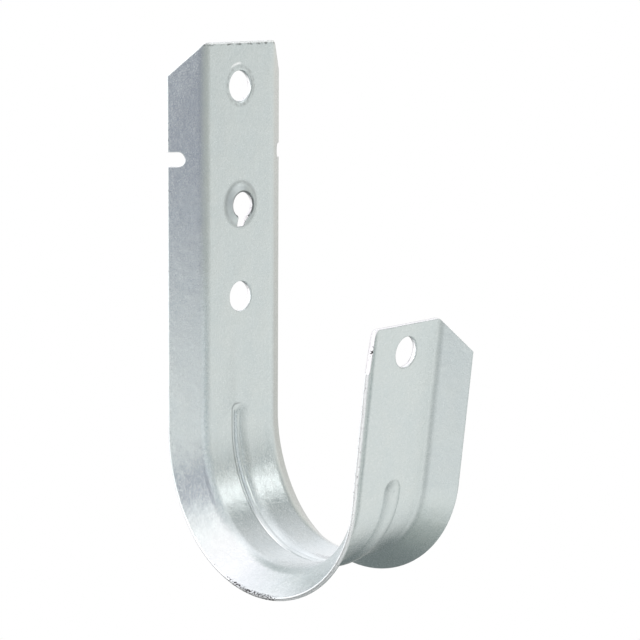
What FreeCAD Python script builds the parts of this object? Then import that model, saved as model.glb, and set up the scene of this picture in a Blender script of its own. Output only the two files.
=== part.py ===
import FreeCAD, Part
import math
import os
from FreeCAD import Placement, Rotation, Vector

# Cable support hook: one strip of sheet with two flared flanges, rolled into a J.
# World frame: X across the strip, Y towards the wall, Z up.
# The origin is the centre of the top hole on the face that lies on the wall.

# Sheet and channel section, mm and degrees
SHEET = 1.1
WEB_WIDTH = 23.3
FLANGE_WIDTH = 8.9
FLARE = 36.0
BEND_RADIUS = 4.4
EDGE_BEVEL = 0.15

# Path of the inner face of the web
TOP_MARGIN = 10.3
BACK_STRAIGHT = 80.9
EASE_RADIUS = 32.7
EASE_TURN = 34.7
HOOK_RADIUS = 22.3
LEAN = 6.4
LIP_STRAIGHT = 39.3

# Bevelled ends and the two edge notches
BEVEL_LENGTH = 7.6
BEVEL_ROUND = 2.0
NOTCH_DROP = 16.4
NOTCH_HEIGHT = 3.4
NOTCH_DEPTH = 4.1

# Plain holes
HOLE_DIAMETER = 7.1
LOWER_HOLE_DROP = 49.7
LIP_HOLE_MARGIN = 6.4
TOP_HOLE_ROLL = 0.5
HOLE_ROLL = 0.3

# Stiffening bead, pressed outward along the middle of the strip
BEAD_HALF = 3.0
BEAD_DEPTH = 0.8
BEAD_FOOT = 0.5
BEAD_TOP_DROP = 78.2
BEAD_LIP_RUN = 0.2

# Thread impression: a ring raised towards the cables whose crest climbs one thread pitch
# in a turn, split at the bottom where the turn begins and ends
THREAD_DROP = 27.75
THREAD_PITCH = 1.27
THREAD_LIFT = 1.0
THREAD_RIM = 5.7
THREAD_BOW = 1.1
THREAD_CREST = 3.4
THREAD_BORE = 2.9
THREAD_FLANK_ANGLE = 30.0
THREAD_NOSE = 0.15
THREAD_ROOT = 0.75
BACK_RIM = 5.3
SINK = 0.1
SLIT_WIDTH = 2.2
SLIT_REACH = 5.3
SLIT_ANGLE = 3.0
RING_SECTIONS = 24

# How far cutting tools stand clear of the sheet, and how far the ring is made oversize
# into its bore before the bore is cut
CLEAR = 2.0
TRIM = 0.3

# A local frame rides along the path: x across, y outward through the sheet from its
# inner face, z against the direction of travel.
TOP = Placement(Vector(0, -SHEET, TOP_MARGIN), Rotation())
HOOK_TURN = 180.0 - LEAN - EASE_TURN


def run(length):
    """A straight piece of the path."""
    return ("run", length)


def turn(radius, angle):
    """A curved piece of the path, centred on the cable side."""
    return ("turn", radius, angle)


PATH = [
    run(TOP_MARGIN + BACK_STRAIGHT),
    turn(EASE_RADIUS, EASE_TURN),
    turn(HOOK_RADIUS, HOOK_TURN),
    run(LIP_STRAIGHT),
]


def after(frame, piece):
    """The local frame at the end of one piece of the path."""
    if piece[0] == "run":
        step = Placement(Vector(0, 0, -piece[1]), Rotation())
    else:
        centre = Vector(0, -piece[1], 0)
        step = Placement(Vector(), Rotation(Vector(-1, 0, 0), piece[2]), centre)
    return frame.multiply(step)


def along(frame, pieces):
    """The local frame at the end of several pieces of the path."""
    for piece in pieces:
        frame = after(frame, piece)
    return frame


def placed(shape, frame):
    """A shape built in local coordinates, moved to its frame."""
    moved = shape.copy()
    moved.Placement = frame.multiply(moved.Placement)
    return moved


def joined(shapes):
    """Several touching shapes fused into one."""
    return shapes[0].multiFuse(shapes[1:])


def swept(profile, frame, pieces):
    """Solids made by carrying a flat local profile along the path."""
    solids = []
    for piece in pieces:
        if piece[0] == "run":
            body = profile.extrude(Vector(0, 0, -piece[1]))
        else:
            body = profile.revolve(Vector(0, -piece[1], 0), Vector(-1, 0, 0), piece[2])
        solids.append(placed(body, frame))
        frame = after(frame, piece)
    return solids


def arc(start, middle, end):
    return Part.Arc(start, middle, end).toShape()


def line(start, end):
    return Part.LineSegment(start, end).toShape()


def channel_side(side):
    """Edges of one half of the channel section, from the web middle and back to it."""
    flare = math.radians(FLARE)
    centre_y = BEND_RADIUS + SHEET
    centre_x = WEB_WIDTH / 2 - centre_y * math.tan(flare / 2)

    def bend(radius, angle):
        x = centre_x + radius * math.sin(angle)
        return Vector(side * x, centre_y - radius * math.cos(angle), 0)

    def flange(reach, depth):
        x = WEB_WIDTH / 2 + reach * math.cos(flare) - depth * math.sin(flare)
        return Vector(side * x, reach * math.sin(flare) + depth * math.cos(flare), 0)

    inner_start = flange(FLANGE_WIDTH - EDGE_BEVEL, 0)
    outer_start = flange(FLANGE_WIDTH - EDGE_BEVEL, SHEET)
    edge_inner = flange(FLANGE_WIDTH, EDGE_BEVEL)
    edge_outer = flange(FLANGE_WIDTH, SHEET - EDGE_BEVEL)
    return [
        line(Vector(), bend(centre_y, 0)),
        arc(bend(centre_y, 0), bend(centre_y, flare / 2), bend(centre_y, flare)),
        line(bend(centre_y, flare), inner_start),
        line(inner_start, edge_inner),
        line(edge_inner, edge_outer),
        line(edge_outer, outer_start),
        line(outer_start, bend(BEND_RADIUS, flare)),
        arc(bend(BEND_RADIUS, flare), bend(BEND_RADIUS, flare / 2), bend(BEND_RADIUS, 0)),
        line(bend(BEND_RADIUS, 0), Vector(0, SHEET, 0)),
    ]


def face_of(edges):
    return Part.Face(Part.Wire(Part.__sortEdges__(edges)))


def channel_profile():
    """The whole channel section, with the inner face of the web on y = 0."""
    return face_of(channel_side(1) + channel_side(-1))


def bead_half(side):
    """Edges of one half of the bead section: a round trough between two small lips."""
    slope = 2 * math.atan(BEAD_DEPTH / BEAD_HALF)
    lip = BEAD_FOOT + SHEET
    trough = BEAD_HALF / math.sin(slope) - lip

    def lip_point(radius, angle):
        x = BEAD_HALF - radius * math.sin(angle)
        return Vector(side * x, lip - radius * math.cos(angle), 0)

    def trough_point(radius, angle):
        y = BEAD_DEPTH - trough + radius * math.cos(angle)
        return Vector(side * radius * math.sin(angle), y, 0)

    ridge = trough + SHEET
    return [
        arc(trough_point(trough, 0), trough_point(trough, slope / 2), trough_point(trough, slope)),
        arc(lip_point(lip, slope), lip_point(lip, slope / 2), lip_point(lip, 0)),
        line(Vector(side * BEAD_HALF, 0, 0), Vector(side * BEAD_HALF, SHEET, 0)),
        arc(lip_point(BEAD_FOOT, 0), lip_point(BEAD_FOOT, slope / 2), lip_point(BEAD_FOOT, slope)),
        arc(trough_point(ridge, slope), trough_point(ridge, slope / 2), trough_point(ridge, 0)),
    ]


def bead_profiles():
    """The bead section whole, and the half of it that is turned to make the round ends."""
    middle = line(Vector(0, BEAD_DEPTH, 0), Vector(0, BEAD_DEPTH + SHEET, 0))
    return face_of(bead_half(1) + bead_half(-1)), face_of(bead_half(1) + [middle])


def slab_profiles():
    """A plain band as wide as the bead, whole and half, that opens the web for it."""
    low = Vector(-BEAD_HALF, -CLEAR, 0)
    height = SHEET + 2 * CLEAR
    whole = Part.makePlane(2 * BEAD_HALF, height, low)
    half = Part.makePlane(BEAD_HALF, height, Vector(0, -CLEAR, 0))
    return whole, half


BEAD_START = after(TOP, run(TOP_MARGIN + BEAD_TOP_DROP))
BEAD_PATH = [run(BACK_STRAIGHT - BEAD_TOP_DROP)] + PATH[1:3] + [run(BEAD_LIP_RUN)]


def round_ended(profiles):
    """A bead or band swept from one end of the bead to the other, with half-round ends."""
    whole, half = profiles
    first = half.revolve(Vector(), Vector(0, -1, 0), 180)
    last = half.revolve(Vector(), Vector(0, 1, 0), 180)
    solids = swept(whole, BEAD_START, BEAD_PATH)
    solids.append(placed(first, BEAD_START))
    solids.append(placed(last, along(BEAD_START, BEAD_PATH)))
    return joined(solids)


def add_bead(strip):
    opened = strip.cut(round_ended(slab_profiles()))
    return opened.fuse(round_ended(bead_profiles())).removeSplitter()


def flange_cutter(side, curve, outline):
    """A prism standing square on one flange; its outline points are (reach, travel). The
    first three are joined by an arc if curve is true, and the rest by straight lines."""
    flare = math.radians(FLARE)
    reach_dir = Vector(side * math.cos(flare), math.sin(flare), 0)
    through = Vector(-side * math.sin(flare), math.cos(flare), 0)
    corner = Vector(side * WEB_WIDTH / 2, 0, 0) - through * CLEAR
    points = [corner + reach_dir * reach - Vector(0, 0, travel) for reach, travel in outline]
    edges = [arc(*points[:3])] if curve else []
    straight = points[2:] if curve else points
    straight.append(points[0])
    edges += [line(straight[i], straight[i + 1]) for i in range(len(straight) - 1)]
    return face_of(edges).extrude(through * (SHEET + 2 * CLEAR))


def bevel(side, sense):
    """Takes the corner off a flange end and rounds it into the end of the web; sense is 1
    at the top and -1 at the lip."""
    angle = math.atan(BEVEL_LENGTH / FLANGE_WIDTH)
    tangent = BEVEL_ROUND * math.tan(angle / 2)
    far = FLANGE_WIDTH + CLEAR

    def round_point(part):
        reach = BEVEL_ROUND * math.sin(part * angle) - tangent
        return reach, BEVEL_ROUND * (1 - math.cos(part * angle))

    outline = [round_point(0), round_point(0.5), round_point(1), (far, far * math.tan(angle))]
    outline += [(far, -CLEAR), (-tangent, -CLEAR)]
    return flange_cutter(side, True, [(reach, sense * travel) for reach, travel in outline])


def notch(side):
    """A round-ended notch in the outer edge of one flange."""
    flare = math.radians(FLARE)
    radius = NOTCH_HEIGHT / 2
    centre = FLANGE_WIDTH - NOTCH_DEPTH + radius
    far = FLANGE_WIDTH + CLEAR
    box = [(centre, -radius), (far, -radius), (far, radius), (centre, radius)]
    through = Vector(-side * math.sin(flare), math.cos(flare), 0)
    base = Vector(side * (WEB_WIDTH / 2 + centre * math.cos(flare)), centre * math.sin(flare), 0)
    end = Part.makeCylinder(radius, SHEET + 2 * CLEAR, base - through * CLEAR, through)
    return flange_cutter(side, False, box).fuse(end)


def hole(roll, entry, sense):
    """A punched hole with a rolled edge on its entry face; sense points into the sheet."""
    radius = HOLE_DIAMETER / 2
    quarter = math.pi / 4
    points = [
        (radius, roll),
        (radius + roll * (1 - math.cos(quarter)), roll * (1 - math.sin(quarter))),
        (radius + roll, 0),
        (radius + roll, -CLEAR),
        (0, -CLEAR),
        (0, SHEET + CLEAR),
        (radius, SHEET + CLEAR),
    ]
    outline = [Vector(x, entry + sense * depth, 0) for x, depth in points]
    profile = Part.Face(Part.makePolygon(outline + outline[:1]))
    return profile.revolve(Vector(), Vector(0, 1, 0), 360)


def thread_ring(outline):
    """A ring lofted round the thread hole; its crest climbs one pitch in a full turn."""
    sections = []
    for index in range(RING_SECTIONS + 1):
        angle = SLIT_ANGLE + (360 - 2 * SLIT_ANGLE) * index / RING_SECTIONS
        bow, corners = outline(THREAD_LIFT + THREAD_PITCH * (angle / 360 - 0.5))
        curve = Part.BezierCurve()
        curve.setPoles([Vector(radius, depth, 0) for radius, depth in bow])
        points = [Vector(radius, depth, 0) for radius, depth in [bow[-1]] + corners + [bow[0]]]
        edges = [curve.toShape()]
        edges += [line(points[i], points[i + 1]) for i in range(len(points) - 1)]
        section = Part.Wire(edges)
        section.rotate(Vector(), Vector(0, 1, 0), 90 + angle)
        sections.append(section)
    return Part.makeLoft(sections, True, False)


def flank_drop():
    """Depth of the thread flank from the crest to the end of the oversize ring."""
    width = THREAD_CREST - THREAD_BORE + TRIM
    return width * math.tan(math.radians(THREAD_FLANK_ANGLE))


def ring_front(lift):
    """Front of the ring: a bowed climb to the crest, then the flank of the thread."""
    inside = THREAD_BORE - TRIM
    bow = [(THREAD_RIM, SINK), (THREAD_RIM - THREAD_BOW, 0), (THREAD_CREST, -lift)]
    corners = [(inside, flank_drop() - lift), (inside, THREAD_ROOT), (THREAD_RIM, THREAD_ROOT)]
    return bow, corners


def ring_back(lift):
    """The hollow behind the ring, which leaves a thin nose where the thread ends."""
    inside = THREAD_BORE - TRIM
    nose = flank_drop() + THREAD_NOSE - lift
    past = SHEET + CLEAR
    bow = [(BACK_RIM, SHEET + SINK), (BACK_RIM - THREAD_BOW, SHEET), (inside, nose)]
    corners = [(inside - TRIM, nose), (inside - TRIM, past), (BACK_RIM, past)]
    return bow, corners


def add_thread(strip):
    frame = after(TOP, run(TOP_MARGIN + THREAD_DROP))
    start = Vector(0, -2 * CLEAR, 0)
    depth = SHEET + 4 * CLEAR
    opening = Part.makeCylinder(THREAD_CREST, depth, start, Vector(0, 1, 0))
    bore = Part.makeCylinder(THREAD_BORE, depth, start, Vector(0, 1, 0))
    slit = Part.makeBox(SLIT_WIDTH, depth, SLIT_REACH)
    slit.translate(start - Vector(SLIT_WIDTH / 2, 0, SLIT_REACH))
    raised = strip.cut(placed(opening, frame)).fuse(placed(thread_ring(ring_front), frame))
    for cutter in (bore, thread_ring(ring_back), slit):
        raised = raised.cut(placed(cutter, frame))
    return raised


def build():
    strip = joined(swept(channel_profile(), TOP, PATH)).removeSplitter()
    strip = add_bead(strip)
    end = along(TOP, PATH)
    top_hole = after(TOP, run(TOP_MARGIN))
    lower_hole = after(TOP, run(TOP_MARGIN + LOWER_HOLE_DROP))
    lip_hole = after(end, run(-LIP_HOLE_MARGIN))
    notch_line = after(TOP, run(TOP_MARGIN + NOTCH_DROP))
    cutters = [placed(bevel(side, 1), TOP) for side in (1, -1)]
    cutters += [placed(bevel(side, -1), end) for side in (1, -1)]
    cutters += [placed(notch(side), notch_line) for side in (1, -1)]
    cutters.append(placed(hole(TOP_HOLE_ROLL, 0, 1), top_hole))
    cutters.append(placed(hole(HOLE_ROLL, 0, 1), lower_hole))
    cutters.append(placed(hole(HOLE_ROLL, SHEET, -1), lip_hole))
    for cutter in cutters:
        strip = strip.cut(cutter)
    return add_thread(strip)


os.makedirs("parts", exist_ok=True)
hook = build()
hook.exportStep("parts/j_hook.step")
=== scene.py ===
import math
import bpy
from mathutils import Matrix, Vector


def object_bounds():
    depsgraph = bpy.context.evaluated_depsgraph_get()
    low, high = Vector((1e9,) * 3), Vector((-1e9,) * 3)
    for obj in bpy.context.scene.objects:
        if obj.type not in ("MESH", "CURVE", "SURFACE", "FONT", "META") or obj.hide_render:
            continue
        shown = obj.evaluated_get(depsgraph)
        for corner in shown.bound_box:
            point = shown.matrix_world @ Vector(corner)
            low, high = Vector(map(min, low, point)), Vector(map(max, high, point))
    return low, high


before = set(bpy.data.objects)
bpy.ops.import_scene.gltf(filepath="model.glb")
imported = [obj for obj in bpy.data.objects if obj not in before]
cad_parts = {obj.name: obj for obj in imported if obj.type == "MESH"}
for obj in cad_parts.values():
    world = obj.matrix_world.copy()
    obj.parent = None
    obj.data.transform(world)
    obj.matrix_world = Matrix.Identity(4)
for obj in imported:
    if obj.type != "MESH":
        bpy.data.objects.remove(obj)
cad_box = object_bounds()
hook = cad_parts["j_hook"]

# Sizes of the strip, in metres and degrees
SHEET = 0.0011
WEB_WIDTH = 0.0233
FLARE = 36.0
BEND_RADIUS = 0.0044
BACK_END = -0.0809
EASE_RADIUS = 0.0327
EASE_TURN = 34.7
HOOK_RADIUS = 0.0223
LEAN = 6.4
BEAD_TOP = -0.0782
BEAD_HALF = 0.0030
BEAD_DEPTH = 0.0008
BEAD_FOOT = 0.0005
BEAD_LIP_RUN = 0.0002
SIDEWAYS = Vector((1.0, 0.0, 0.0))

# How far the bead's hollow seems to lean from one side to the other, by position across it
BEAD_LEAN = (
    (-0.0030, 0.0), (-0.0024, 7.0), (-0.0021, -28.0), (-0.0010, -24.0), (0.0004, -22.0),
    (0.0012, -13.0), (0.0020, -6.0), (0.0030, 0.0),
)
# How much of its true slope the bead's ridge shows on the short leg
RIDGE_SLOPE = 0.7
# How far past its outline the bead still shapes the shading, and the smallest reach from its
# middle line that has a direction
BEAD_SPREAD = 0.0004
BEAD_MIDDLE = 0.00001
# How near a mesh normal has to be to a true one to be taken for it, on the sheet and the bead,
# and how square to the sheet a face has to stand to be a cut one
SMOOTH_LIMIT = math.cos(math.radians(7.0))
BEAD_LIMIT = math.cos(math.radians(35.0))
CUT_LIMIT = 0.3

# Places of the marks, painted shade and painted highlights, in millimetres across and above the top
# hole
TOP_EDGE = 10.3
RIM_NEAR, RIM_FAR = 17.9, 18.6
THREAD_DROP = 27.75
THREAD_BORE = 2.9
THREAD_RIM = 5.7
DARK_RING_RADIUS = 4.5
HIGHLIGHT_ARC = 5.3
CREASE_LEFT = -2.85
CREASE_TOP = -75.55
CREASE_CORNER = 1.3
CREASE_INNER = -1.6
LIP_GLINT = -2.0
EDGE_SPECK = -54.3

# The rounding that the shading gives to every edge, and the height of the surface's bumps, in
# metres
EDGE_ROUND = 0.0003
BUMP_HEIGHT = 0.0002

# Camera: focal length, picture and shifts in pixels, angles in degrees, distance and aim in
# metres, and the sensor in millimetres
FOCAL_PIXELS = 2189.18
PICTURE = 640
SENSOR = 36.0
AZIMUTH = -48.369
ELEVATION = 9.671
ROLL = 0.378
DISTANCE = 0.504763
AIM = Vector((0.0, -0.0227, -0.0455))
SHIFT_RIGHT = -11.753
SHIFT_DOWN = -31.814


def make_camera():
    azimuth, elevation, roll = (math.radians(a) for a in (AZIMUTH, ELEVATION, ROLL))
    back = Vector((
        math.sin(azimuth) * math.cos(elevation),
        -math.cos(azimuth) * math.cos(elevation),
        math.sin(elevation),
    ))
    level = Vector((math.cos(azimuth), math.sin(azimuth), 0.0))
    upright = back.cross(level)
    right = level * math.cos(roll) + upright * math.sin(roll)
    up = upright * math.cos(roll) - level * math.sin(roll)
    metres_per_pixel = DISTANCE / FOCAL_PIXELS
    place = AIM + back * DISTANCE
    place += up * (SHIFT_DOWN * metres_per_pixel) - right * (SHIFT_RIGHT * metres_per_pixel)
    data = bpy.data.cameras.new("camera")
    data.sensor_width = SENSOR
    data.lens = FOCAL_PIXELS / PICTURE * SENSOR
    data.clip_start = 0.01
    data.clip_end = 20.0
    camera = bpy.data.objects.new("camera", data)
    turn = Matrix((right, up, back)).transposed()
    camera.matrix_world = Matrix.Translation(place) @ turn.to_4x4()
    bpy.context.scene.collection.objects.link(camera)
    bpy.context.scene.camera = camera


class Nodes:
    """Short calls for building one node tree."""

    def __init__(self, tree):
        self.tree = tree
        tree.nodes.clear()

    def add(self, kind, inputs=None, **settings):
        node = self.tree.nodes.new(kind)
        for name, value in settings.items():
            setattr(node, name, value)
        for name, value in (inputs or {}).items():
            if isinstance(value, bpy.types.NodeSocket):
                self.tree.links.new(value, node.inputs[name])
            else:
                node.inputs[name].default_value = value
        return node

    def math(self, operation, first, second=0.0):
        node = self.add("ShaderNodeMath", {0: first, 1: second}, operation=operation)
        return node.outputs[0]

    def times(self, first, *others):
        """The product of several values."""
        for other in others:
            first = self.math("MULTIPLY", first, other)
        return first

    def noise(self, vector, scale, detail=3.0, roughness=0.55, distortion=0.0):
        inputs = {
            "Vector": vector,
            "Scale": scale,
            "Detail": detail,
            "Roughness": roughness,
            "Distortion": distortion,
        }
        return self.add("ShaderNodeTexNoise", inputs).outputs["Fac"]

    def ramp(self, factor, stops):
        """A smooth ramp through (position, grey or colour) stops."""
        node = self.add("ShaderNodeValToRGB", {"Fac": factor})
        elements = node.color_ramp.elements
        while len(elements) < len(stops):
            elements.new(0.5)
        for element, (position, value) in zip(elements, stops):
            element.position = position
            grey = isinstance(value, (int, float))
            element.color = (value, value, value, 1.0) if grey else (*value, 1.0)
        return node.outputs["Color"]

    def range(self, value, low, high, to_low, to_high):
        inputs = {
            "Value": value,
            "From Min": low,
            "From Max": high,
            "To Min": to_low,
            "To Max": to_high,
        }
        return self.add("ShaderNodeMapRange", inputs).outputs[0]

    def smooth(self, value, low, high):
        """0 at low, 1 at high, with a soft start and end; low may be the larger."""
        flip = low > high
        inputs = {"Value": value, "From Min": min(low, high), "From Max": max(low, high)}
        inputs["To Min"], inputs["To Max"] = (1.0, 0.0) if flip else (0.0, 1.0)
        node = self.add("ShaderNodeMapRange", inputs, interpolation_type="SMOOTHSTEP")
        return node.outputs[0]

    def stripe(self, value, middle, reach):
        """1 at the middle, 0 beyond its reach on either side."""
        away = self.math("ABSOLUTE", self.math("SUBTRACT", value, middle))
        return self.smooth(away, reach, 0.0)

    def mix(self, factor, first, second, blend="MIX"):
        node = self.add("ShaderNodeMix", data_type="RGBA", blend_type=blend)
        for index, value in ((0, factor), (6, first), (7, second)):
            if isinstance(value, bpy.types.NodeSocket):
                self.tree.links.new(value, node.inputs[index])
            elif index == 0:
                node.inputs[index].default_value = value
            else:
                node.inputs[index].default_value = (*value, 1.0)
        return node.outputs[2]


def millimetres(nodes):
    """The object's own coordinates, in millimetres."""
    place = nodes.add("ShaderNodeTexCoord").outputs["Object"]
    mapping = nodes.add("ShaderNodeMapping", {"Vector": place, "Scale": (1000.0, 1000.0, 1000.0)})
    return mapping.outputs["Vector"]


def stretched(nodes, vector, scale, turn):
    """A place turned and scaled, so that a noise in it is drawn out one way."""
    inputs = {"Vector": vector, "Scale": scale, "Rotation": turn}
    return nodes.add("ShaderNodeMapping", inputs).outputs["Vector"]


def length(nodes, first, second):
    """The length of two parts at right angles."""
    squares = [nodes.times(part, part) for part in (first, second)]
    return nodes.math("SQRT", nodes.math("ADD", *squares))


def crumbs(nodes, place, turn, torn):
    """Dark crumbs of broken metal on the left edge, where the hook turns lowest and in one
    speck on the short leg."""
    parts = nodes.add("ShaderNodeSeparateXYZ", {"Vector": place}).outputs
    worst = nodes.times(nodes.smooth(turn, 63.0, 72.0), nodes.smooth(turn, 104.0, 96.0))
    speck = nodes.times(nodes.stripe(parts["Z"], EDGE_SPECK, 1.6), nodes.smooth(turn, 150.0, 170.0))
    left = nodes.smooth(parts["X"], 0.0, -5.0)
    amount = nodes.times(nodes.math("MAXIMUM", worst, speck), left, torn)
    level = nodes.math("ADD", nodes.noise(place, 2.4, 3.0, 0.65), nodes.times(amount, 0.18))
    return nodes.smooth(level, 0.63, 0.68)


def zinc(nodes, place, mottle, grain):
    """The colour of the coating: soft clouds, mottle, grain and light strokes."""
    clouds = nodes.noise(place, 0.16, 4.0, 0.6)
    cloud = nodes.range(clouds, 0.3, 0.7, 0.0, 1.0)
    tone = nodes.mix(cloud, (0.645, 0.69, 0.69), (0.675, 0.71, 0.70))
    tone = nodes.mix(0.07, tone, nodes.ramp(mottle, [(0.35, 0.25), (0.65, 1.0)]), "OVERLAY")
    tone = nodes.mix(0.14, tone, nodes.ramp(grain, [(0.3, 0.1), (0.7, 1.0)]), "OVERLAY")
    drawn_out = stretched(nodes, place, (1.5, 1.5, 0.45), (0.9, 0.2, 0.7))
    strokes = nodes.smooth(nodes.noise(drawn_out, 1.6, 2.0, 0.6, 0.8), 0.66, 0.74)
    tone = nodes.mix(nodes.times(strokes, 0.30), tone, (0.92, 0.94, 0.94))
    height = nodes.math("ADD", nodes.times(clouds, 4.0), grain)
    return tone, height


def bead_shade_and_glint(nodes, parts, turn, tone):
    """Painted shade: two thin dark crease lines along the bead's left side, the outer one round its
    top; and a painted highlight: a bright line on its lip lower down."""
    beside = nodes.math("SUBTRACT", CREASE_LEFT + CREASE_CORNER, parts["X"])
    above = nodes.math("SUBTRACT", parts["Z"], CREASE_TOP - CREASE_CORNER)
    beside, above = (nodes.math("MAXIMUM", part, 0.0) for part in (beside, above))
    outer = nodes.times(
        nodes.stripe(length(nodes, beside, above), CREASE_CORNER, 0.42),
        nodes.smooth(parts["X"], 0.8, -1.4),
        nodes.smooth(turn, 46.0, 24.0),
    )
    inner = nodes.times(
        nodes.stripe(parts["X"], CREASE_INNER, 0.4),
        nodes.smooth(parts["Z"], CREASE_TOP - 1.05, CREASE_TOP - 2.25),
        nodes.smooth(turn, 44.0, 34.0),
    )
    # painted shade: the colour darkens towards black along the two crease lines
    tone = nodes.mix(nodes.times(nodes.math("ADD", outer, inner), 0.42), tone, (0.0, 0.0, 0.0))
    # painted highlight: the lip's bright line is painted white into the colour
    glint = nodes.times(
        nodes.stripe(parts["X"], LIP_GLINT, 0.5),
        nodes.smooth(turn, 36.0, 48.0),
        nodes.smooth(turn, 112.0, 96.0),
    )
    return nodes.mix(glint, tone, (1.0, 1.0, 1.0))


def top_edge_highlight_and_burrs(nodes, parts, mottle, tone):
    """A painted highlight, a bright strip along the tall leg's top edge, with dark burrs under it.
    """
    # painted highlight: the strip along the top edge is painted white
    bright = nodes.smooth(parts["Z"], TOP_EDGE - 0.55, TOP_EDGE - 0.3)
    tone = nodes.mix(bright, tone, (1.0, 1.0, 1.0))
    burrs = nodes.stripe(parts["Z"], TOP_EDGE - 0.6, 0.4)
    burrs = nodes.times(burrs, nodes.smooth(mottle, 0.47, 0.56), 0.8)
    return nodes.mix(burrs, tone, (0.06, 0.06, 0.06))


def hole_shade_and_highlight(nodes, parts, ring_reach, mottle, tone):
    """A patchy darker ring and a painted highlight arc at the top hole, and painted shade: a ragged
    dark line round the bore of the thread ring and a softer one at the ring's base."""
    top_reach = length(nodes, parts["X"], parts["Z"])
    # a patchy darker ring round the top hole
    dark_ring = nodes.times(nodes.stripe(top_reach, DARK_RING_RADIUS, 0.7), nodes.smooth(mottle, 0.38, 0.62))
    tone = nodes.mix(nodes.times(dark_ring, 0.38), tone, (0.15, 0.15, 0.15))
    # painted highlight: a white arc above and to the left of the top hole
    arc_highlight = nodes.times(
        nodes.stripe(top_reach, HIGHLIGHT_ARC, 0.45),
        nodes.smooth(parts["Z"], 3.8, 5.1),
        nodes.smooth(parts["X"], 0.4, -0.2),
    )
    tone = nodes.mix(arc_highlight, tone, (1.0, 1.0, 1.0))
    # painted shade: a ragged dark line round the bore of the thread ring
    bore_shade = nodes.stripe(ring_reach, THREAD_BORE + 0.15, 0.45)
    bore_shade = nodes.times(bore_shade, nodes.smooth(mottle, 0.30, 0.44), 0.85)
    tone = nodes.mix(bore_shade, tone, (0.05, 0.05, 0.05))
    # painted shade: a softer dark band at the base of the thread ring
    foot_shade = nodes.stripe(ring_reach, THREAD_RIM - 0.5, 0.8)
    foot_shade = nodes.times(foot_shade, nodes.smooth(mottle, 0.25, 0.55), 0.30)
    return nodes.mix(foot_shade, tone, (0.15, 0.15, 0.15))


def finish_metal(material, nodes, look, height, strength):
    """Rounds the edges and roughens the surface, and joins the shader to the output."""
    rounded = nodes.add("ShaderNodeBevel", {"Radius": EDGE_ROUND}, samples=6)
    bump = nodes.add("ShaderNodeBump", {
        "Height": height,
        "Strength": strength,
        "Distance": BUMP_HEIGHT,
        "Normal": rounded.outputs["Normal"],
    })
    shader = nodes.add("ShaderNodeBsdfPrincipled", {**look, "Normal": bump.outputs["Normal"]})
    output = nodes.add("ShaderNodeOutputMaterial")
    material.node_tree.links.new(shader.outputs[0], output.inputs["Surface"])


def galvanised():
    """Satin zinc coating with fine scratches and marks of wear, with painted shade and painted
    highlights along the pressed bead, at the top edge and round the holes.
    """
    material = bpy.data.materials.new("galvanised_sheet")
    material.use_nodes = True
    nodes = Nodes(material.node_tree)
    place = millimetres(nodes)
    parts = nodes.add("ShaderNodeSeparateXYZ", {"Vector": place}).outputs
    turn = nodes.add("ShaderNodeAttribute", attribute_name="turn").outputs["Fac"]
    mottle = nodes.noise(place, 1.1, 4.0, 0.7)
    grain = nodes.noise(place, 5.0, 3.0, 0.65)
    ring_reach = length(nodes, parts["X"], nodes.math("ADD", parts["Z"], THREAD_DROP))

    tone, height = zinc(nodes, place, mottle, grain)
    tone = bead_shade_and_glint(nodes, parts, turn, tone)
    rim = nodes.smooth(nodes.math("ABSOLUTE", parts["X"]), RIM_NEAR, RIM_FAR)
    dark = nodes.times(crumbs(nodes, place, turn, rim), nodes.smooth(rim, 0.1, 0.5))
    tone = nodes.mix(dark, tone, (0.06, 0.06, 0.06))
    tone = top_edge_highlight_and_burrs(nodes, parts, mottle, tone)
    tone = hole_shade_and_highlight(nodes, parts, ring_reach, mottle, tone)

    drawn_out = stretched(nodes, place, (0.9, 0.9, 0.12), (0.3, 0.5, 0.2))
    scratches = nodes.noise(drawn_out, 2.2, 2.0, 0.5, 0.4)
    scratches = nodes.ramp(scratches, [(0.0, 0.0), (0.66, 0.0), (0.70, 1.0)])
    on_ring = nodes.smooth(ring_reach, THREAD_RIM + 0.3, THREAD_RIM - 0.3)
    rough = nodes.range(mottle, 0.3, 0.7, 0.22, 0.26)
    rough = nodes.math("ADD", rough, nodes.range(grain, 0.3, 0.7, -0.05, 0.05))
    rough = nodes.math("SUBTRACT", rough, nodes.times(scratches, 0.06))
    rough = nodes.math("ADD", rough, nodes.times(on_ring, 0.16))

    look = {"Base Color": tone, "Metallic": 0.92, "Roughness": rough}
    finish_metal(material, nodes, look, height, 0.18)
    return material


def sheared():
    """The cut edge of the sheet: a smooth bright band across it between duller ones, and dark
    crumbs in some stretches."""
    material = bpy.data.materials.new("sheared_edge")
    material.use_nodes = True
    nodes = Nodes(material.node_tree)
    place = millimetres(nodes)
    depth = nodes.add("ShaderNodeAttribute", attribute_name="depth").outputs["Fac"]
    wander = nodes.noise(place, 0.9, 3.0, 0.6)
    depth = nodes.math("ADD", depth, nodes.range(wander, 0.3, 0.7, -0.12, 0.12))
    band = nodes.ramp(depth, [
        (0.05, 0.60), (0.30, 0.74), (0.48, 0.84), (0.60, 0.96), (0.72, 0.80), (0.90, 0.72),
    ])
    turn = nodes.add("ShaderNodeAttribute", attribute_name="turn").outputs["Fac"]
    dark = crumbs(nodes, place, turn, nodes.smooth(depth, 0.0, 0.6))
    tone = nodes.mix(dark, band, (0.045, 0.04, 0.04))
    height = nodes.math("SUBTRACT", nodes.noise(place, 5.0, 3.0, 0.6), nodes.times(dark, 1.5))
    rough = nodes.range(depth, 0.5, 0.8, 0.34, 0.5)
    look = {"Base Color": tone, "Metallic": 0.85, "Roughness": rough}
    finish_metal(material, nodes, look, height, 0.35)
    return material


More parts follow.
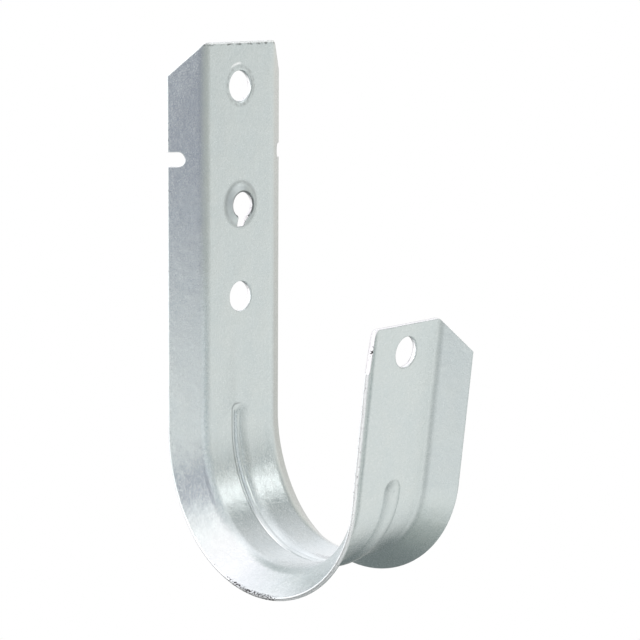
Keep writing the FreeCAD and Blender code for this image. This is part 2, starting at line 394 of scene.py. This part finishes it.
def turned(angle):
    """The direction outward through the web where the path has turned by an angle."""
    return Vector((0.0, math.cos(angle), -math.sin(angle)))


EASE_END = math.radians(EASE_TURN)
LIP_TURN = math.radians(180.0 - LEAN)
EASE_CENTRE = Vector((0.0, -SHEET - EASE_RADIUS, BACK_END))
HOOK_CENTRE = EASE_CENTRE + turned(EASE_END) * (EASE_RADIUS - HOOK_RADIUS)
LIP_START = HOOK_CENTRE + turned(LIP_TURN) * HOOK_RADIUS


def place_on_strip(point):
    """Depth under the inner face of the web, how far the path has turned, and how far the
    point is from the nearer end of the bead along the path, or 0 between its ends."""
    level = Vector((0.0, point.y, point.z))
    lip_up = Vector((0.0, -math.sin(LIP_TURN), -math.cos(LIP_TURN)))
    beyond = (level - LIP_START).dot(lip_up)
    if point.y > HOOK_CENTRE.y and point.z > BACK_END:
        return point.y + SHEET, 0.0, max(point.z - BEAD_TOP, 0.0)
    if point.y < HOOK_CENTRE.y and beyond > 0.0:
        depth = (level - LIP_START).dot(turned(LIP_TURN))
        return depth, LIP_TURN, max(beyond - BEAD_LIP_RUN, 0.0)
    spoke = level - EASE_CENTRE
    angle = math.atan2(-spoke.z, spoke.y)
    if 0.0 <= angle < EASE_END:
        return spoke.length - EASE_RADIUS, angle, 0.0
    spoke = level - HOOK_CENTRE
    angle = math.atan2(-spoke.z, spoke.y) % (2 * math.pi)
    return spoke.length - HOOK_RADIUS, angle, 0.0


def flange_depth(across, depth):
    """Depth under the inner face of the flange."""
    flare = math.radians(FLARE)
    return depth * math.cos(flare) - (across - WEB_WIDTH / 2) * math.sin(flare)


def channel_normal(point, depth, out):
    """The direction outward through the web, a bend or a flange."""
    flare = math.radians(FLARE)
    centre_depth = BEND_RADIUS + SHEET
    centre_across = WEB_WIDTH / 2 - centre_depth * math.tan(flare / 2)
    angle = math.atan2(abs(point.x) - centre_across, centre_depth - depth)
    angle = min(max(angle, 0.0), flare)
    return out * math.cos(angle) - SIDEWAYS * math.copysign(math.sin(angle), point.x)


def bead_normal(point, depth, turn, past_end, outside):
    """The direction outward through the bead, or None beside it."""
    along = Vector((0.0, -math.sin(turn), -math.cos(turn)))
    if turn == 0.0:
        along = Vector((0.0, 0.0, 1.0))
    spoke = SIDEWAYS * point.x + along * past_end
    reach = spoke.length
    if not BEAD_MIDDLE <= reach <= BEAD_HALF + BEAD_SPREAD:
        return None
    slope = 2 * math.atan(BEAD_DEPTH / BEAD_HALF)
    shoulder = BEAD_FOOT + SHEET
    trough = BEAD_HALF / math.sin(slope) - shoulder
    angle = math.atan2(reach, depth - BEAD_DEPTH + trough)
    if angle > slope:
        angle = math.atan2(max(BEAD_HALF - reach, 0.0), shoulder - depth)
    shape = turned(turn) * math.cos(angle) + spoke / reach * math.sin(angle)
    if outside:
        if reach > BEAD_HALF:
            return None
        share = RIDGE_SLOPE if turn > math.pi / 2 else 1.0
        return turned(turn).lerp(shape, share).normalized()
    for (start, low), (end, high) in zip(BEAD_LEAN, BEAD_LEAN[1:]):
        if start <= point.x <= end:
            angle = math.radians(low + (high - low) * (point.x - start) / (end - start))
            lean = turned(turn) * math.cos(angle) - SIDEWAYS * math.sin(angle)
            return lean.lerp(shape, min(past_end / BEAD_HALF, 1.0)).normalized()
    return None


def smooth_hook(mesh):
    """Gives the rolled faces their true normals, so that reflections run on across the
    seams between them, and keeps the others as they are."""
    normals = [corner.vector.copy() for corner in mesh.corner_normals]
    for index, loop in enumerate(mesh.loops):
        point = mesh.vertices[loop.vertex_index].co
        depth, turn, past_end = place_on_strip(point)
        given = normals[index].copy()
        outside = given.dot(turned(turn)) > 0.0
        rolled = channel_normal(point, depth, turned(turn))
        bead = bead_normal(point, depth, turn, past_end, outside)
        if bead is not None and abs(given.dot(turned(turn))) > BEAD_LIMIT:
            normals[index] = bead * math.copysign(1.0, bead.dot(given))
        elif abs(rolled.dot(given)) > SMOOTH_LIMIT:
            normals[index] = rolled * math.copysign(1.0, rolled.dot(given))
    mesh.normals_split_custom_set(normals)


def dress_hook():
    """Gives the hook its zinc coating, and its cut faces the sheared material."""
    mesh = hook.data
    mesh.materials.clear()
    mesh.materials.append(galvanised())
    mesh.materials.append(sheared())
    depths = mesh.attributes.new("depth", "FLOAT", "POINT")
    turns = mesh.attributes.new("turn", "FLOAT", "POINT")
    for index, vertex in enumerate(mesh.vertices):
        depth, turn, _ = place_on_strip(vertex.co)
        depths.data[index].value = min(depth, flange_depth(abs(vertex.co.x), depth)) / SHEET
        turns.data[index].value = math.degrees(turn)
    for face in mesh.polygons:
        depth, turn, _ = place_on_strip(face.center)
        through = channel_normal(face.center, depth, turned(turn))
        face.material_index = 1 if abs(face.normal.dot(through)) < CUT_LIMIT else 0
    smooth_hook(mesh)


def heading(azimuth, elevation):
    """A direction from the object, with azimuth 0 to the front and 90 to the right."""
    azimuth, elevation = math.radians(azimuth), math.radians(elevation)
    level = math.cos(elevation)
    return (math.sin(azimuth) * level, -math.cos(azimuth) * level, math.sin(elevation))


# The floor: how far it reaches to each side, and its gap under the hook, in metres
FLOOR_REACH = 3.0
FLOOR_GAP = 0.0002

# The card: its middle, its radius and height in metres, and the azimuths of its ends
CARD_CENTRE = Vector((-0.0152, 0.0015, -0.032))
CARD_RADIUS, CARD_HEIGHT = 0.20, 0.20
CARD_FIRST, CARD_LAST, CARD_STEPS = -45.0, 42.0, 29

# The studio round the object: a dim room, and soft lamps by azimuth, elevation, the angles at
# which each is full and at which it is gone, and its glow
ROOM = (0.21, 0.244, 0.244)
LAMPS = {
    "wall_behind": (-145, 15, 15, 75, (1.26, 1.18, 1.27)),
    "wall_left": (-95, 20, 5, 50, (1.00, 1.00, 0.99)),
    "upper_left": (-75, 42, 5, 55, (0.41, 0.35, 0.42)),
    "front_left": (-55, 20, 0, 40, (1.32, 1.34, 1.25)),
    "overhead": (-65, 72, 0, 30, (0.60, 0.55, 0.52)),
    "upper_front": (20, 55, 0, 45, (0.58, 0.58, 0.59)),
    "upper_right": (100, 72, 0, 45, (0.38, 0.35, 0.38)),
    "high_behind": (135, 65, 0, 40, (0.55, 0.55, 0.58)),
    "low_right": (115, -9, 0, 32, (0.42, 0.38, 0.35)),
    "right_behind": (150, 20, 0, 45, (1.02, 0.98, 1.03)),
    "side_right": (92, 13, 0, 28, (0.52, 0.49, 0.46)),
    "far_right": (100, 35, 0, 30, (0.11, 0.11, 0.10)),
    "table_right": (55, -25, 5, 50, (0.76, 0.75, 0.74)),
    "table_left": (-30, -25, 0, 45, (0.65, 0.64, 0.65)),
    "table_near": (-35, -55, 0, 45, (0.18, 0.19, 0.17)),
    "table_behind": (-150, -25, 0, 40, (0.62, 0.60, 0.57)),
    "lamp_right": (50, 22, 2, 7, (2.80, 2.80, 2.80)),
    "lamp_left": (42, 28, 2, 9, (2.00, 2.00, 2.00)),
    "lamp_low": (46, 7, 0, 15, (0.08, 0.08, 0.08)),
}


def add_world():
    world = bpy.data.worlds.new("studio")
    bpy.context.scene.world = world
    world.use_nodes = True
    nodes = Nodes(world.node_tree)
    seen = nodes.add("ShaderNodeLightPath").outputs["Is Camera Ray"]
    way = nodes.add("ShaderNodeTexCoord").outputs["Generated"]
    colour = ROOM
    for azimuth, elevation, full, gone, glow in LAMPS.values():
        inputs = {0: way, 1: heading(azimuth, elevation)}
        near = nodes.add("ShaderNodeVectorMath", inputs, operation="DOT_PRODUCT").outputs["Value"]
        edge = nodes.smooth(near, math.cos(math.radians(gone)), math.cos(math.radians(full)))
        colour = nodes.mix(edge, colour, glow, "ADD")
    colour = nodes.mix(seen, colour, (1.0, 1.0, 1.0))
    shine = nodes.add("ShaderNodeBackground", {"Color": colour, "Strength": 1.0})
    output = nodes.add("ShaderNodeOutputWorld")
    world.node_tree.links.new(shine.outputs[0], output.inputs["Surface"])


def add_card():
    """A curved card that only the glossy reflections see, to the left of the camera and in
    front: bluish and dim on the left, brighter to the right, clear at its edges."""
    mesh = bpy.data.meshes.new("card")
    corners = []
    for step in range(CARD_STEPS + 1):
        azimuth = CARD_FIRST + (CARD_LAST - CARD_FIRST) * step / CARD_STEPS
        ahead = Vector(heading(azimuth, 0.0)) * CARD_RADIUS
        for up in (-CARD_HEIGHT / 2, CARD_HEIGHT / 2):
            corners.append(CARD_CENTRE + ahead + Vector((0.0, 0.0, up)))
    faces = [(2 * step, 2 * step + 2, 2 * step + 3, 2 * step + 1) for step in range(CARD_STEPS)]
    mesh.from_pydata(corners, [], faces)
    layer = mesh.uv_layers.new(name="across")
    for loop, corner in zip(layer.data, mesh.loops):
        loop.uv = (corner.vertex_index // 2 / CARD_STEPS, corner.vertex_index % 2)
    card = bpy.data.objects.new("card", mesh)
    material = bpy.data.materials.new("grey_card")
    material.use_nodes = True
    nodes = Nodes(material.node_tree)
    place = nodes.add("ShaderNodeTexCoord").outputs["UV"]
    parts = nodes.add("ShaderNodeSeparateXYZ", {"Vector": place})
    low = nodes.smooth(parts.outputs["Y"], 0.12, 0.42)
    high = nodes.smooth(parts.outputs["Y"], 0.98, 0.70)
    left = nodes.smooth(parts.outputs["X"], 0.0, 0.14)
    right = nodes.smooth(parts.outputs["X"], 1.0, 0.85)
    shown = nodes.times(low, high, left, right)
    colour = nodes.ramp(parts.outputs["X"], [
        (0.25, (0.225, 0.238, 0.336)),
        (0.38, (0.36, 0.38, 0.43)),
        (0.66, (0.54, 0.56, 0.54)),
    ])
    glow = nodes.add("ShaderNodeEmission", {"Color": colour, "Strength": 1.0})
    clear = nodes.add("ShaderNodeBsdfTransparent")
    blend = nodes.add("ShaderNodeMixShader", {0: shown, 1: clear.outputs[0], 2: glow.outputs[0]})
    output = nodes.add("ShaderNodeOutputMaterial")
    material.node_tree.links.new(blend.outputs[0], output.inputs["Surface"])
    mesh.materials.append(material)
    card.visible_camera = False
    card.visible_diffuse = False
    card.visible_shadow = False
    card.visible_transmission = False
    bpy.context.scene.collection.objects.link(card)


def add_floor():
    depth = cad_box[0].z - FLOOR_GAP
    corners = [
        (across * FLOOR_REACH, ahead * FLOOR_REACH, depth)
        for across, ahead in ((-1, -1), (1, -1), (1, 1), (-1, 1))
    ]
    mesh = bpy.data.meshes.new("floor")
    mesh.from_pydata(corners, [], [(0, 1, 2, 3)])
    floor = bpy.data.objects.new("floor", mesh)
    material = bpy.data.materials.new("pale_floor")
    material.use_nodes = True
    nodes = Nodes(material.node_tree)
    seen = nodes.add("ShaderNodeLightPath").outputs["Is Camera Ray"]
    plain = nodes.add("ShaderNodeBsdfDiffuse", {"Color": (0.70, 0.70, 0.70, 1.0)})
    white = nodes.add("ShaderNodeEmission", {"Color": (1.0, 1.0, 1.0, 1.0), "Strength": 1.0})
    blend = nodes.add("ShaderNodeMixShader", {0: seen, 1: plain.outputs[0], 2: white.outputs[0]})
    output = nodes.add("ShaderNodeOutputMaterial")
    material.node_tree.links.new(blend.outputs[0], output.inputs["Surface"])
    mesh.materials.append(material)
    floor.visible_glossy = False
    bpy.context.scene.collection.objects.link(floor)


make_camera()
dress_hook()
add_world()
add_floor()
add_card()
bpy.context.scene.view_settings.view_transform = "Standard"
